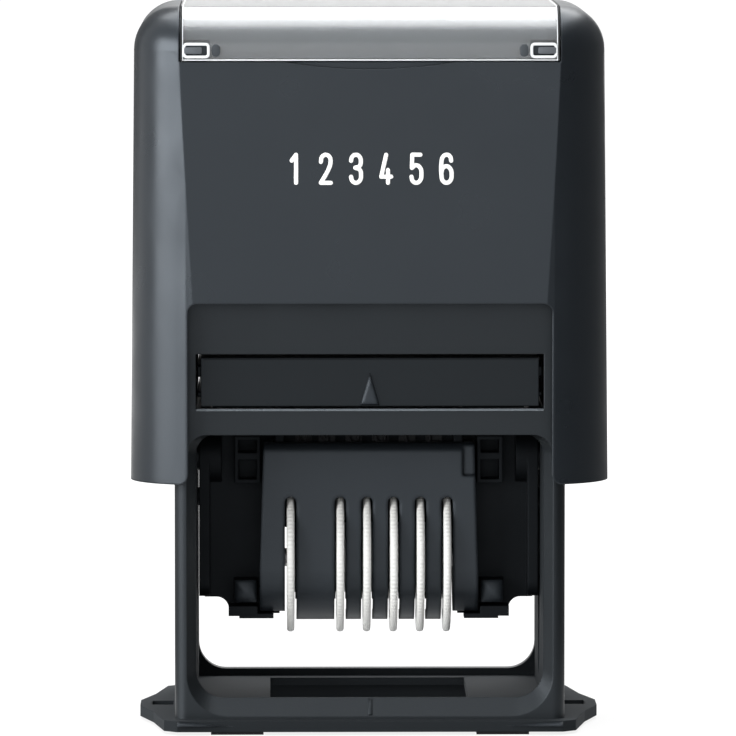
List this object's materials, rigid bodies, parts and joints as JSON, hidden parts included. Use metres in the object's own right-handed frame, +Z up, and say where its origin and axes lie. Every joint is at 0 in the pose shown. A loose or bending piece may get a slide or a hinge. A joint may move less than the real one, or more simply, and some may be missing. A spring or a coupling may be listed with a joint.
{
  "type": "numbering stamp",
  "caption": "Self-inking hand numbering stamp: a sprung cap slides down an open frame and turns over a unit of number bands set by toothed wheels.",
  "frame": {"origin": "centre of the footprint, on the surface that the feet rest on", "axes": "+Z up along the stroke, +X along the row of digits to the viewer's right, +Y to the back; the setting wheels face -Y"},
  "size_m": [0.0622, 0.0404, 0.0942],
  "materials": {
    "frame_plastic": "satin",
    "cap_plastic": "satin",
    "window_clear": "polished",
    "card_paper": "matt",
    "unit_plastic": "satin",
    "cover_plastic": "satin",
    "cassette_plastic": "satin",
    "wheel_plastic": "satin",
    "band_rubber": "matt",
    "pad_foam": "matt",
    "foot_rubber": "matt",
    "shaft_steel": "bright",
    "spring_wire": "bright"
  },
  "bodies": {
    "base": {"base_frame": "frame_plastic", "foot_pads": "foot_rubber", "return_spring": "spring_wire"},
    "cap": {"cap_shell": "cap_plastic", "index_window": "window_clear", "index_card": "card_paper"},
    "number_unit": {"turning_unit": "unit_plastic", "setting_shaft": "shaft_steel", "band_platen": "unit_plastic", "wheel_cover": "cover_plastic", "number_band_1": "band_rubber", "number_band_2": "band_rubber", "number_band_3": "band_rubber", "number_band_4": "band_rubber", "number_band_5": "band_rubber", "number_band_6": "band_rubber"},
    "cassette": {"pad_cassette": "cassette_plastic", "ink_pad": "pad_foam"},
    "wheel_1": {"setting_wheel_1": "wheel_plastic"},
    "wheel_2": {"setting_wheel_2": "wheel_plastic"},
    "wheel_3": {"setting_wheel_3": "wheel_plastic"},
    "wheel_4": {"setting_wheel_4": "wheel_plastic"},
    "wheel_5": {"setting_wheel_5": "wheel_plastic"},
    "wheel_6": {"setting_wheel_6": "wheel_plastic"}
  },
  "joints": [
    {"name": "cap_slide", "type": "slide", "parent": "base", "child": "cap", "axis": [0, 0, -1], "range_m": [0, 0.027], "stiffness_N_per_m": 300, "springref_m": -0.02, "deforming": ["return_spring"]},
    {"name": "unit_flip", "type": "hinge", "parent": "cap", "child": "number_unit", "pos_m": [0, 0, 0.03467], "axis": [1, 0, 0], "range_deg": [0, 180]},
    {"name": "cassette_slide", "type": "slide", "parent": "base", "child": "cassette", "axis": [0, 1, 0], "range_m": [-0.04, 0]},
    {"name": "setting_wheel_1_spin", "type": "hinge", "parent": "number_unit", "child": "wheel_1", "pos_m": [-0.01025, 0, 0.0211], "axis": [1, 0, 0], "continuous": true},
    {"name": "setting_wheel_2_spin", "type": "hinge", "parent": "number_unit", "child": "wheel_2", "pos_m": [-0.00375, 0, 0.0211], "axis": [1, 0, 0], "continuous": true},
    {"name": "setting_wheel_3_spin", "type": "hinge", "parent": "number_unit", "child": "wheel_3", "pos_m": [-0.00025, 0, 0.0211], "axis": [1, 0, 0], "continuous": true},
    {"name": "setting_wheel_4_spin", "type": "hinge", "parent": "number_unit", "child": "wheel_4", "pos_m": [0.00325, 0, 0.0211], "axis": [1, 0, 0], "continuous": true},
    {"name": "setting_wheel_5_spin", "type": "hinge", "parent": "number_unit", "child": "wheel_5", "pos_m": [0.00675, 0, 0.0211], "axis": [1, 0, 0], "continuous": true},
    {"name": "setting_wheel_6_spin", "type": "hinge", "parent": "number_unit", "child": "wheel_6", "pos_m": [0.01025, 0, 0.0211], "axis": [1, 0, 0], "continuous": true}
  ],
  "couplings": [
    {"joint": "unit_flip", "follows": "cap_slide", "rad_per_m": 116.35}
  ]
}
